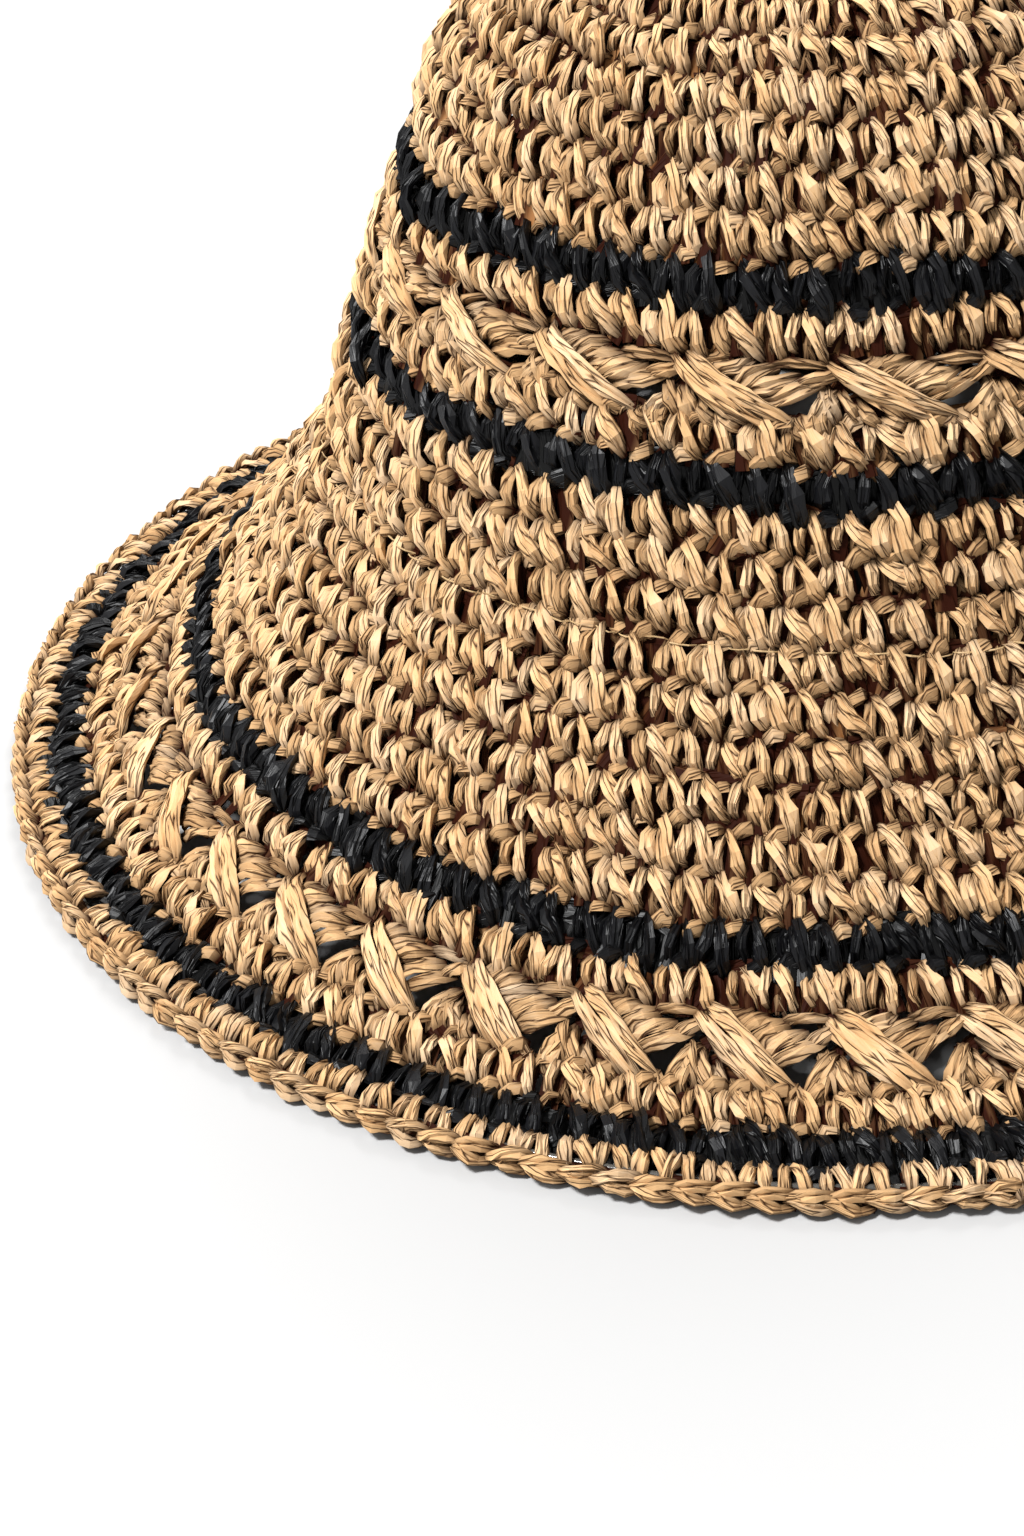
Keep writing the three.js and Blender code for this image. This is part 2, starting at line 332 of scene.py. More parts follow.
def plait_link(rng):
    """One link of the plait: a core, and two legs that rise out of the link before and part over it."""
    shape = Shape()
    upper_leg = [(-1.4, -0.1, -0.2), (0.2, 0.1, 1.2), (2.4, 0.8, 1.6), (4.9, 1.2, 0.9), (7.4, 0.8, -0.6)]
    lower_leg = [(-1.2, -0.4, -0.2), (0.3, -0.3, 1.0), (2.2, -0.9, 1.4), (4.6, -1.3, 0.7), (7.0, -0.9, -0.8)]
    for leg in (upper_leg, lower_leg):
        shape.strand(rng, leg, 2.2, 1.8, rings=8, ends=(0.55, 0.5))
    core = [(-1.0, 0.1, -0.9), (7.0, -0.1, -0.9)]
    shape.strand(rng, core, 3.0, 1.2, rings=2, section="thin", ends=(1, 1), tone=CORE_PAINTED_SHADE)
    return shape


# The strands of one openwork motif. A point is a share of the motif's width to the right, a share of its
# height down from the top, and millimetres out. A strand's width is in millimetres.
MotifStrand = namedtuple("MotifStrand", "section width path")
MOTIF_STRANDS = [
    # The straw behind
    MotifStrand("thin", 3.6, [(-0.1, 0.06, -1.3), (0.1, 0.0, -1.4), (0.36, -0.04, -1.3)]),
    MotifStrand("thin", 3.8, [(0.04, 0.44, -1.2), (0.24, 0.24, -1.4), (0.46, 0.0, -1.2)]),
    MotifStrand("thin", 3.8, [(0.1, 0.7, -1.2), (0.36, 0.44, -1.4), (0.64, 0.12, -1.2)]),
    MotifStrand("thin", 3.8, [(0.0, 0.86, -1.2), (0.3, 0.84, -1.4), (0.7, 0.96, -1.2)]),
    MotifStrand("thin", 3.4, [(0.06, 0.4, -1.2), (0.0, 0.7, -1.4), (-0.08, 1.0, -1.2)]),
    # The fan that leans up to the right, under the next motif's crossing
    MotifStrand("plump", 2.7, [(0.14, 0.22, -0.9), (0.2, 0.12, 0.4), (0.27, 0.03, 0.5), (0.36, -0.08, -0.8)]),
    MotifStrand("plump", 2.8, [(0.22, 0.36, -0.9), (0.31, 0.2, 0.8), (0.4, 0.09, 1.0), (0.5, -0.02, -0.8)]),
    MotifStrand("plump", 2.9, [(0.34, 0.46, -0.8), (0.43, 0.3, 0.5), (0.53, 0.18, 0.9), (0.65, 0.04, -0.6)]),
    MotifStrand("plump", 2.9, [(0.44, 0.56, -0.8), (0.54, 0.4, 0.9), (0.65, 0.26, 1.3), (0.79, 0.12, -0.5)]),
    MotifStrand("plump", 2.8, [(0.54, 0.64, -0.7), (0.65, 0.5, 0.5), (0.78, 0.36, 1.0), (0.94, 0.2, -0.2)]),
    MotifStrand("plump", 2.2, [(0.7, 1.04, -0.7), (0.73, 0.92, 0.4), (0.78, 0.8, -0.3)]),
    MotifStrand("plump", 2.4, [(0.78, 0.32, -0.5), (0.86, 0.22, 0.9), (0.95, 0.12, 1.0), (1.04, 0.0, -0.5)]),
    MotifStrand("plump", 2.0, [(0.6, 0.02, -0.6), (0.72, -0.02, 0.3), (0.84, -0.04, 0.3),
                               (0.96, -0.04, -0.6)]),
    # The long strands that cross over the fan
    MotifStrand("folded", 2.6, [(0.05, -0.06, -0.7), (0.15, 0.1, 1.9), (0.34, 0.34, 2.4), (0.54, 0.6, 2.3),
                                (0.78, 0.88, 0.4)]),
    MotifStrand("folded", 2.6, [(-0.04, 0.04, -0.7), (0.05, 0.2, 1.8), (0.22, 0.44, 2.3), (0.42, 0.68, 2.3),
                                (0.68, 1.0, 0.2)]),
    MotifStrand("plump", 2.3, [(0.1, 0.34, 0.2), (0.22, 0.52, 1.4), (0.36, 0.72, 1.6), (0.52, 0.96, -0.2)]),
    # The legs that stand under the crossing, left and right of the gap
    MotifStrand("plump", 2.6, [(-0.04, 0.42, -0.8), (-0.02, 0.6, 1.0), (0.01, 0.8, 0.9), (0.05, 1.04, -0.8)]),
    MotifStrand("plump", 2.6, [(0.06, 0.5, -0.8), (0.09, 0.68, 1.2), (0.13, 0.86, 1.2), (0.18, 1.06, -0.6)]),
    MotifStrand("plump", 2.4, [(0.17, 0.64, -0.8), (0.2, 0.8, 1.0), (0.25, 0.94, 0.9), (0.31, 1.08, -0.7)]),
    MotifStrand("plump", 2.4, [(0.34, 0.84, -0.6), (0.38, 0.94, 0.9), (0.42, 1.02, 0.8), (0.46, 1.1, -0.7)]),
    MotifStrand("plump", 2.6, [(1.02, 0.34, -0.6), (0.98, 0.5, 0.9), (0.92, 0.7, 1.2), (0.86, 0.96, -0.5)]),
    MotifStrand("plump", 2.6, [(0.95, 0.56, -0.7), (0.95, 0.72, 1.1), (0.96, 0.88, 1.1), (0.99, 1.06, -0.6)]),
    MotifStrand("plump", 2.2, [(0.78, 0.84, -0.8), (0.8, 0.92, 0.6), (0.83, 1.0, 0.6), (0.88, 1.08, -0.8)]),
]
MOTIF_WIDENING = 1.1
MOTIF_THICKNESS = 1.8


def openwork_motif(rng, width, height, bend):
    """One motif, as wide and as high as given in metres, and bent about the hat."""
    shape = Shape(bend)
    for strand in MOTIF_STRANDS:
        behind = strand.section == "thin"
        path = [(right * width / MM, -down * height / MM, out) for right, down, out in strand.path]
        shape.strand(rng, path, strand.width * MOTIF_WIDENING, MOTIF_THICKNESS,
                     rings=3 if behind else 2 * len(path) - 1, section=strand.section, ends=(0.6, 0.5),
                     tone=BACK_PAINTED_SHADE if behind else 0.0)
    return shape


# Placing the shapes along the rounds

class Library:
    """The shapes that a piece is made of, several variants of each kind, in a collection of their own."""

    def __init__(self, name):
        self.collection = bpy.data.collections.new(name)
        self.kinds = {}
        self.count = 0

    def add(self, kind, maker, count, seed):
        self.kinds[kind] = []
        for number in range(count):
            shape = maker(np.random.default_rng([SEED, seed, number]))
            self.collection.objects.link(shape.make(f"shape_{self.count:03d}"))
            self.kinds[kind].append(self.count)
            self.count += 1


STITCHES = Library("straw stitches")
STITCHES.add("legs", leg_pair, 14, seed=1)
STITCHES.add("loop", front_loop, 8, seed=2)
STITCHES.add("back", back_bar, 6, seed=3)
STITCHES.add("short", short_pair, 8, seed=4)
STITCHES.add("link", plait_link, 8, seed=5)
STITCHES.add("thread", thread_stitch, 5, seed=6)

# The unevenness of the hand work. A wave has a number of crests round the hat, the radians that it shifts by
# down the profile, and a phase. It fades towards the crown's centre and the rim, over shares of the profile.
UNEVENNESS = 0.38 * MM
WAVES = [(3, 9, 0), (7, -14, 1), (13, 31, 0)]
CENTRE_CALM, RIM_CALM = 1 / 8, 1 / 6


def unevenness(bearing, distance):
    """How far the hand work strays along the profile, which is nearly the same for neighbouring stitches."""
    share = distance / MERIDIAN_LENGTH
    wave = sum(math.sin(crests * bearing + down * share + phase) for crests, down, phase in WAVES)
    return UNEVENNESS * wave * min(1, (1 - share) / RIM_CALM) * min(1, share / CENTRE_CALM)


LOOSE = 0.36               # how far a stitch strays from its place, in millimetres
FIRM = 0.18
TIGHT = 0.12


class Layout:
    """Where the shapes of one piece go: a point for each, with its turn, size and shape."""

    def __init__(self, seed):
        self.rng = np.random.default_rng([SEED, seed])
        self.points, self.turns, self.sizes, self.shapes = [], [], [], []

    def add(self, point, basis, size, choices):
        self.points.append(point)
        self.turns.append(basis.to_euler("XYZ"))
        self.sizes.append(size)
        self.shapes.append(choices[self.rng.integers(len(choices))])

    def place(self, kind, bearing, distance, size, offset=0.0, tilt=None, shake=LOOSE):
        """One stitch of a kind on the wall. size is right, up and out, as shares of the shape's own."""
        point, right, up, out = surface(bearing, distance + unevenness(bearing, distance), offset)
        basis = Matrix((right, up, out)).transposed()
        if tilt is not None:
            basis = basis @ Matrix.Rotation(tilt, 3, "X")
        point = point + basis @ Vector(self.rng.normal(0, shake * MM, 3))
        self.add(point, basis, size, STITCHES.kinds[kind])

    def mesh(self, name):
        mesh = bpy.data.meshes.new(name)
        mesh.from_pydata([tuple(p) for p in self.points], [], [])
        for key, kind, values, field in (("turn", "FLOAT_VECTOR", self.turns, "vector"),
                                         ("size", "FLOAT_VECTOR", self.sizes, "vector"),
                                         ("shape", "INT", self.shapes, "value")):
            attribute = mesh.attributes.new(key, kind, "POINT")
            attribute.data.foreach_set(field, np.array(values).ravel())
        return mesh


def add_node(tree, kind, sockets=None, **settings):
    """Adds a node, makes its settings, and fills its inputs with values or links."""
    node = tree.nodes.new(kind)
    for name, value in settings.items():
        setattr(node, name, value)
    for key, value in (sockets or {}).items():
        socket = node.inputs[key]
        if isinstance(value, bpy.types.NodeSocket):
            tree.links.new(value, socket)
        else:
            socket.default_value = value
    return node


def stitching_tree():
    """Puts a shape on each point, turned and sized a little by chance, and makes one mesh of them all."""
    tree = bpy.data.node_groups.new("work straw stitches", "GeometryNodeTree")
    for name, kind in (("Points", "Geometry"), ("Shapes", "Collection"), ("Turn Spread", "Float"),
                       ("Size Spread", "Float"), ("Seed", "Int"), ("Straw", "Material")):
        tree.interface.new_socket(name, in_out="INPUT", socket_type="NodeSocket" + kind)
    tree.interface.new_socket("Stitches", in_out="OUTPUT", socket_type="NodeSocketGeometry")
    given = add_node(tree, "NodeGroupInput").outputs
    shapes = add_node(tree, "GeometryNodeCollectionInfo", {
        "Collection": given["Shapes"], "Separate Children": True, "Reset Children": True})
    shape = add_node(tree, "GeometryNodeInputNamedAttribute", {"Name": "shape"}, data_type="INT")
    turn = add_node(tree, "GeometryNodeInputNamedAttribute", {"Name": "turn"}, data_type="FLOAT_VECTOR")
    size = add_node(tree, "GeometryNodeInputNamedAttribute", {"Name": "size"}, data_type="FLOAT_VECTOR")
    placed = add_node(tree, "GeometryNodeInstanceOnPoints", {
        "Points": given["Points"], "Instance": shapes.outputs[0], "Pick Instance": True,
        "Instance Index": shape.outputs[0], "Rotation": turn.outputs[0], "Scale": size.outputs[0]})
    least_turn = add_node(tree, "ShaderNodeMath", {0: given["Turn Spread"], 1: -1.0}, operation="MULTIPLY")
    chance_turn = add_node(tree, "FunctionNodeRandomValue", {
        "Min": least_turn.outputs[0], "Max": given["Turn Spread"], "Seed": given["Seed"]},
        data_type="FLOAT_VECTOR")
    turned = add_node(tree, "GeometryNodeRotateInstances", {
        "Instances": placed.outputs[0], "Rotation": chance_turn.outputs[0], "Local Space": True})
    least_size = add_node(tree, "ShaderNodeMath", {0: 1.0, 1: given["Size Spread"]}, operation="SUBTRACT")
    most_size = add_node(tree, "ShaderNodeMath", {0: 1.0, 1: given["Size Spread"]}, operation="ADD")
    size_seed = add_node(tree, "ShaderNodeMath", {0: given["Seed"], 1: 11.0}, operation="ADD")
    chance_size = add_node(tree, "FunctionNodeRandomValue", {
        "Min": least_size.outputs[0], "Max": most_size.outputs[0], "Seed": size_seed.outputs[0]},
        data_type="FLOAT_VECTOR")
    sized = add_node(tree, "GeometryNodeScaleInstances", {
        "Instances": turned.outputs[0], "Scale": chance_size.outputs[0], "Local Space": True})
    real = add_node(tree, "GeometryNodeRealizeInstances", {"Geometry": sized.outputs[0]})
    dressed = add_node(tree, "GeometryNodeSetMaterial", {
        "Geometry": real.outputs[0], "Material": given["Straw"]})
    add_node(tree, "NodeGroupOutput", {"Stitches": dressed.outputs[0]})
    return tree


STITCHING = stitching_tree()


def press_on_floor(mesh):
    """Presses the straw that would reach below the floor flat against it."""
    places = np.empty(len(mesh.vertices) * 3, np.float32)
    mesh.vertices.foreach_get("co", places)
    places[2::3] = np.maximum(places[2::3], 0)
    mesh.vertices.foreach_set("co", places)


def finish_piece(piece, nodes):
    """Says which body a piece moves with, and which solids it replaces."""
    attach(piece, "root")
    if nodes:
        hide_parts(*nodes)


def work(name, layout, material, nodes, library=STITCHES, turn_spread=0.15, size_spread=0.1):
    """One piece of straw work: the layout's points become stitches, and then a plain mesh.

    turn_spread is in radians and size_spread a share: how far a stitch may be turned, and made larger or
    smaller.
    """
    piece = bpy.data.objects.new(name, layout.mesh(name + " points"))
    bpy.context.scene.collection.objects.link(piece)
    modifier = piece.modifiers.new("stitches", "NODES")
    modifier.node_group = STITCHING
    chosen = {"Shapes": library.collection, "Turn Spread": turn_spread, "Size Spread": size_spread,
              "Seed": SEED, "Straw": material}
    for item in STITCHING.interface.items_tree:
        if item.name in chosen:
            modifier[item.identifier] = chosen[item.name]
    graph = bpy.context.evaluated_depsgraph_get()
    finished = bpy.data.meshes.new_from_object(piece.evaluated_get(graph))
    piece.modifiers.remove(modifier)
    press_on_floor(finished)
    piece.data = finished
    finish_piece(piece, nodes)


# Materials

def linear(colour):
    """An sRGB hex colour as linear RGBA."""
    channels = [int(colour[i:i + 2], 16) / 255 for i in (1, 3, 5)]
    return [c / 12.92 if c <= 0.04045 else ((c + 0.055) / 1.055) ** 2.4 for c in channels] + [1.0]


def ramp(tree, value, stops):
    """A colour that runs through the stops, each a place and a colour, as the value rises."""
    node = add_node(tree, "ShaderNodeValToRGB", {"Fac": value})
    elements = node.color_ramp.elements
    while len(elements) < len(stops):
        elements.new(0.5)
    for element, (place, colour) in zip(elements, stops):
        element.position = place
        element.color = linear(colour)
    return node.outputs["Color"]


# Patterns on the paper straw, in millimetres. The real fibres are about 0.1 mm wide, which is too fine to
# show, so they are drawn 0.4 mm wide.
STRAND_GIRTH = 8.8                     # once round a strand, which is one unit of V
FIBRE_LENGTH, FIBRE_WIDTH = 5.0, 0.4
CREASE_LENGTH, CREASE_WIDTH = 16.0, 2.2
PATCH_SIZE = 6.25
DARK_DEPTH, LIT_DEPTH = 0.55, 3.2      # above the core of the wall: where the painted shade is darkest, and where it is gone
PAPER_BUMP = 0.25
TWIST_ANGLE = 0.2                      # of the fibres to the strand, in radians, because the paper is twisted
CREASE_LINE = 0.04                     # how close to its middle value the noise is inside a crease
BASE_SHADE, FIBRE_SHADE, PATCH_SHADE, TONE_SHADE = 0.315, 0.18, 0.14, 0.3


def paper_straw(name, dark, mid, light, painted_shade_colour, roughness, specular):
    """A flat ribbon of kraft paper, twisted into straw: matt, with fine fibres, and painted shade in its
    creases and deep in the wall.
    """
    material = bpy.data.materials.new(name)
    material.use_nodes = True
    tree = material.node_tree
    tree.nodes.clear()
    strand_uv = add_node(tree, "ShaderNodeUVMap", uv_map="StrandUV").outputs[0]
    place = add_node(tree, "ShaderNodeTexCoord").outputs["Object"]
    tone = add_node(tree, "ShaderNodeAttribute", attribute_name="tone").outputs["Fac"]
    depth = add_node(tree, "ShaderNodeAttribute", attribute_name="depth").outputs["Fac"]
    twisted = add_node(tree, "ShaderNodeVectorRotate", {"Vector": strand_uv, "Angle": TWIST_ANGLE},
                       rotation_type="Z_AXIS").outputs[0]
    fibre_place = add_node(tree, "ShaderNodeMapping", {
        "Vector": twisted, "Scale": (UV_LENGTH / FIBRE_LENGTH, STRAND_GIRTH / FIBRE_WIDTH, 1.0)}).outputs[0]
    fibres = add_node(tree, "ShaderNodeTexNoise", {
        "Vector": fibre_place, "Scale": 1.0, "Detail": 3.0, "Roughness": 0.55}).outputs["Fac"]
    crease_place = add_node(tree, "ShaderNodeMapping", {
        "Vector": twisted, "Scale": (UV_LENGTH / CREASE_LENGTH, STRAND_GIRTH / CREASE_WIDTH, 1.0)}).outputs[0]
    creases = add_node(tree, "ShaderNodeTexNoise", {
        "Vector": crease_place, "Scale": 1.0, "Detail": 2.0, "Roughness": 0.5}).outputs["Fac"]
    patches = add_node(tree, "ShaderNodeTexNoise", {
        "Vector": place, "Scale": 1 / (PATCH_SIZE * MM), "Detail": 2.0}).outputs["Fac"]

    # Creases are where the noise crosses its middle value
    crossing = add_node(tree, "ShaderNodeMath", {0: creases, 1: 0.5}, operation="SUBTRACT").outputs[0]
    crossing = add_node(tree, "ShaderNodeMath", {0: crossing}, operation="ABSOLUTE").outputs[0]
    flat_paper = add_node(tree, "ShaderNodeMapRange", {"Value": crossing, "From Max": CREASE_LINE}).outputs[0]

    # The paper's colour runs from dark to light with the fibres, the patches and the strand's tone, in which
    # straw behind or under other straw also carries painted shade
    shade = add_node(tree, "ShaderNodeMath", {0: fibres, 1: FIBRE_SHADE, 2: BASE_SHADE},
                     operation="MULTIPLY_ADD").outputs[0]
    shade = add_node(tree, "ShaderNodeMath", {0: patches, 1: PATCH_SHADE, 2: shade},
                     operation="MULTIPLY_ADD").outputs[0]
    shade = add_node(tree, "ShaderNodeMath", {0: tone, 1: TONE_SHADE, 2: shade},
                     operation="MULTIPLY_ADD").outputs[0]
    paper = ramp(tree, shade, [(0.2, dark), (0.46, mid), (0.7, light)])

    # Painted shade: creases and the straw deep in the wall are mixed towards a dark shade colour, in place of
    # the shadow between folds and straws
    raised = add_node(tree, "ShaderNodeMapRange", {
        "Value": depth, "From Min": DARK_DEPTH, "From Max": LIT_DEPTH}).outputs[0]
    kept = add_node(tree, "ShaderNodeMath", {0: raised, 1: flat_paper}, operation="MULTIPLY").outputs[0]
    colour = add_node(tree, "ShaderNodeMixRGB", {
        "Fac": kept, "Color1": linear(painted_shade_colour), "Color2": paper}).outputs[0]
    height = add_node(tree, "ShaderNodeMath", {0: fibres, 1: 0.3, 2: flat_paper},
                      operation="MULTIPLY_ADD").outputs[0]
    bump = add_node(tree, "ShaderNodeBump", {
        "Height": height, "Strength": 0.9, "Distance": PAPER_BUMP * MM}).outputs[0]
    shader = add_node(tree, "ShaderNodeBsdfPrincipled", {
        "Base Color": colour, "Roughness": roughness, "Specular IOR Level": specular, "Normal": bump})
    add_node(tree, "ShaderNodeOutputMaterial", {"Surface": shader.outputs[0]})
    return material


# Undyed kraft paper is matt and warm tan; the dark brown between its folds is painted shade
NATURAL = paper_straw("natural twisted paper straw", dark="#7A4414", mid="#CCA577", light="#E9DAC3",
                      painted_shade_colour="#280E05", roughness=0.62, specular=0.05)
# Dyed paper is nearly black, and shines a little where the light grazes it; its creases get a near-black
# painted shade
DARK = paper_straw("black dyed paper straw", dark="#030304", mid="#08080A", light="#1A1B1F",
                   painted_shade_colour="#020202", roughness=0.38, specular=0.22)
STRAWS = {"natural": (NATURAL, "natural_straw"), "dark": (DARK, "dark_straw")}


def nylon_line():
    """Clear nylon line, extruded smooth: glassy, with bright edges."""
    material = bpy.data.materials.new("clear extruded nylon line")
    material.use_nodes = True
    shader = material.node_tree.nodes["Principled BSDF"]
    shader.inputs["Base Color"].default_value = linear("#B4AFA6")
    shader.inputs["Roughness"].default_value = 0.12
    shader.inputs["Transmission Weight"].default_value = 0.85
    shader.inputs["IOR"].default_value = 1.53
    return material


# Blender's band texture has this many radians to a unit at a scale of 1, in straight and in diagonal bands
STRAIGHT_RADIANS, DIAGONAL_RADIANS = 20, 10
RIB_SPACING = 1.4 * MM     # the real ribs are about 0.7 mm apart, and are drawn coarser to show
PLY_SPACING = 0.56         # of the thread's plies along it, in millimetres


def woven_ribbon():
    """Grosgrain ribbon, woven of black polyester with ribs across it: matt, with fine dark lines."""
    material = bpy.data.materials.new("woven grosgrain ribbon")
    material.use_nodes = True
    tree = material.node_tree
    uv = add_node(tree, "ShaderNodeUVMap", uv_map="StrandUV").outputs[0]
    ribs = add_node(tree, "ShaderNodeTexWave", {
        "Vector": uv, "Scale": 2 * math.pi / (STRAIGHT_RADIANS * RIB_SPACING), "Distortion": 0.4},
        wave_type="BANDS", bands_direction="X").outputs["Fac"]
    bump = add_node(tree, "ShaderNodeBump", {
        "Height": ribs, "Strength": 0.5, "Distance": 0.2 * MM}).outputs[0]
    shader = tree.nodes["Principled BSDF"]
    tree.links.new(ramp(tree, ribs, [(0.0, "#0D0C0D"), (1.0, "#201F21")]), shader.inputs["Base Color"])
    tree.links.new(bump, shader.inputs["Normal"])
    shader.inputs["Roughness"].default_value = 0.9
    return material


def sewing_thread():
    """Spun polyester thread, twisted of plies: tan, with slanting light and dark along it."""
    material = bpy.data.materials.new("spun polyester sewing thread")
    material.use_nodes = True
    tree = material.node_tree
    uv = add_node(tree, "ShaderNodeUVMap", uv_map="StrandUV").outputs[0]
    plies = add_node(tree, "ShaderNodeTexWave", {
        "Vector": uv, "Scale": 2 * math.pi * UV_LENGTH / (DIAGONAL_RADIANS * PLY_SPACING)},
        wave_type="BANDS", bands_direction="DIAGONAL").outputs["Fac"]
    shader = tree.nodes["Principled BSDF"]
    tree.links.new(ramp(tree, plies, [(0.0, "#8F6F45"), (1.0, "#C8AC80")]), shader.inputs["Base Color"])
    shader.inputs["Roughness"].default_value = 0.6
    return material


# The straw work

Row = namedtuple("Row", "node straw top height stitches start after_open")


def lay_out_rounds():
    """Each plain round of the hat: the piece it belongs to, how far along the profile its top is, its height,
    its stitches, the bearing of its first stitch, and whether it follows openwork."""
    rows = []
    top = 0.0
    start = 0.0
    for piece in ROUNDS:
        whole = max(1, round(piece.rounds))
        height = piece.rounds / whole * ROUND_HEIGHT
        for number in range(whole):
            after_open = number == 1 and piece.open > 0
            if after_open:
                top += piece.open * ROUND_HEIGHT
            stitches = min(piece.most, piece.first + piece.growth * number)
            if rows:
                start += LEAN_PER_ROUND * 2 * math.pi / stitches
            rows.append(Row(piece.node, piece.straw, top, height, stitches, start, after_open))
            top += height
    return rows


ROWS = lay_out_rounds()


def rows_of(node):
    """The places in ROWS of the rounds that belong to a node."""
    return [index for index, row in enumerate(ROWS) if row.node == node]


def around(count, start=0.0):
    """Bearings evenly spaced round the hat."""
    return [start + 2 * math.pi * number / count for number in range(count)]


def stitch_width(row, distance):
    """How wide a stitch of a round is at a distance along the profile, as a share of the nominal one."""
    return 2 * math.pi * reach_at(distance) / row.stitches / NOMINAL_PITCH


DARK_STRETCH = 1.14        # the dark straw is worked a little looser, and covers its neighbours' edges
LEG_OFFSET = -0.5 * MM
BACK_OFFSET = 0.15 * MM
LOOP_OFFSET = -0.4 * MM
LOOP_SIZE = 1.15


def lay_row(layout, index):
    """A round's legs, and then the straw behind them."""
    row = ROWS[index]
    wide = stitch_width(row, row.top + row.height / 2)
    tall = row.height / NOMINAL_ROUND * (DARK_STRETCH if row.straw == "dark" else 1.0)
    for kind, offset, shake in (("legs", LEG_OFFSET, LOOSE), ("back", BACK_OFFSET, FIRM)):
        for bearing in around(row.stitches, row.start):
            layout.place(kind, bearing, row.top, (wide, tall, 1.0), offset=offset, shake=shake)


def lay_loops(layout, index):
    """The loops at the top of a round, which belong to the straw of the round above."""
    row = ROWS[index]
    wide = stitch_width(row, row.top)
    for bearing in around(row.stitches, row.start):
        layout.place("loop", bearing, row.top, (wide, LOOP_SIZE, LOOP_SIZE), offset=LOOP_OFFSET)


def lay_backs(layout, index, height):
    """Straw behind the top of a round, which belongs to the round above."""
    row = ROWS[index]
    wide = stitch_width(row, row.top)
    for bearing in around(row.stitches, row.start):
        layout.place("back", bearing, row.top, (wide, height, 1.0))


def work_rounds(name, node, indices, seed, backs_below=0.0):
    """Some rounds of stitches. backs_below is the height of the straw behind the round that follows them."""
    layout = Layout(seed)
    for index in indices:
        lay_row(layout, index)
        follows = index + 1
        if follows < len(ROWS) and not ROWS[follows].after_open:
            lay_loops(layout, follows)
        if ROWS[index].after_open:
            lay_loops(layout, index)
        if backs_below:
            lay_backs(layout, follows, backs_below)
    material, slot = STRAWS[ROWS[indices[0]].straw]
    work(name, layout, material, [node])


# The flare is two pieces, so that each stays well under 200,000 triangles
FLARE = rows_of("crown_flare")
UPPER_FLARE_ROUNDS = 5
work_rounds("crown_tip_stitches", "crown_tip", rows_of("crown_tip"), seed=20)
work_rounds("crown_shoulder_stitches", "crown_shoulder", rows_of("crown_shoulder"), seed=21)
work_rounds("crown_stripe_upper_stitches", "crown_stripe_upper", rows_of("crown_stripe_upper"), seed=22)
work_rounds("crown_openwork_rounds", "crown_openwork", rows_of("crown_openwork"), seed=23)
work_rounds("crown_stripe_lower_stitches", "crown_stripe_lower", rows_of("crown_stripe_lower"), seed=24)
work_rounds("crown_flare_upper_stitches", "crown_flare", FLARE[:UPPER_FLARE_ROUNDS], seed=25)
work_rounds("crown_flare_lower_stitches", "crown_flare", FLARE[UPPER_FLARE_ROUNDS:], seed=26)
work_rounds("brim_stripe_upper_stitches", "brim_stripe_upper", rows_of("brim_stripe_upper"), seed=27)
work_rounds("brim_openwork_rounds", "brim_openwork", rows_of("brim_openwork"), seed=28)
work_rounds("brim_stripe_lower_stitches", "brim_stripe_lower", rows_of("brim_stripe_lower"), seed=29,
            backs_below=0.55)

SHORT_RISE = 1.2 * MM      # the last round's legs start this far up, under the dark round
BACK_RISE = 0.4 * MM       # and the straw behind them this far up
LAST_BACK_HEIGHT = 0.6
LAST_BACK_OFFSET = -0.9 * MM
LINK_OFFSET = 0.4 * MM


def last_round():
    """The short legs over the wire, with straw behind them."""
    row = ROWS[rows_of("brim_last_round")[0]]
    wide = stitch_width(row, row.top)
    layout = Layout(30)
    for bearing in around(row.stitches, row.start):
        layout.place("short", bearing, row.top - SHORT_RISE, (wide, 1.0, 1.0))
        layout.place("back", bearing, row.top - BACK_RISE, (wide, LAST_BACK_HEIGHT, 1.0),
                     offset=LAST_BACK_OFFSET)
    work("brim_last_round_stitches", layout, NATURAL, ["brim_last_round"])


def rim_plait():
    """The chain of links that finishes the rim, one for each stitch of the last round."""
    links = ROWS[-1].stitches
    wide = 2 * math.pi * (BRIM_RADIUS - PLAIT_THICKNESS / 2) / links / NOMINAL_PITCH
    layout = Layout(31)
    for bearing in around(links):
        layout.place("link", bearing, MERIDIAN_LENGTH - PLAIT_INSET, (wide, 1.0, 1.0), tilt=PLAIT_TILT,
                     shake=TIGHT, offset=LINK_OFFSET)
    work("rim_plait_links", layout, NATURAL, ["rim_plait"], turn_spread=0.05)


def openwork(node, seed):
    """A band of motifs between the two plain rounds of its piece, bent as the hat is there."""
    first, second = (ROWS[index] for index in rows_of(node))
    top = first.top + first.height
    height = second.top - top
    middle = top + height / 2
    width = 2 * math.pi * reach_at(middle) / MOTIFS[node]
    bend = surface(0.0, middle)[3].x / reach_at(middle) * MM
    library = Library(node + " motifs")
    library.add("motif", lambda rng: openwork_motif(rng, width, height, bend), MOTIF_VARIANTS, seed)
    layout = Layout(seed)
    for bearing in around(MOTIFS[node]):
        point, right, up, out = surface(bearing, top)
        layout.add(point, Matrix((right, up, out)).transposed(), (1.0, 1.0, 1.0), library.kinds["motif"])
    work(node + "_motifs", layout, NATURAL, [node], library=library, turn_spread=0.02,
         size_spread=0.03)


last_round()
rim_plait()
openwork("crown_openwork", seed=41)
openwork("brim_openwork", seed=42)


# Ribbon, wire and thread

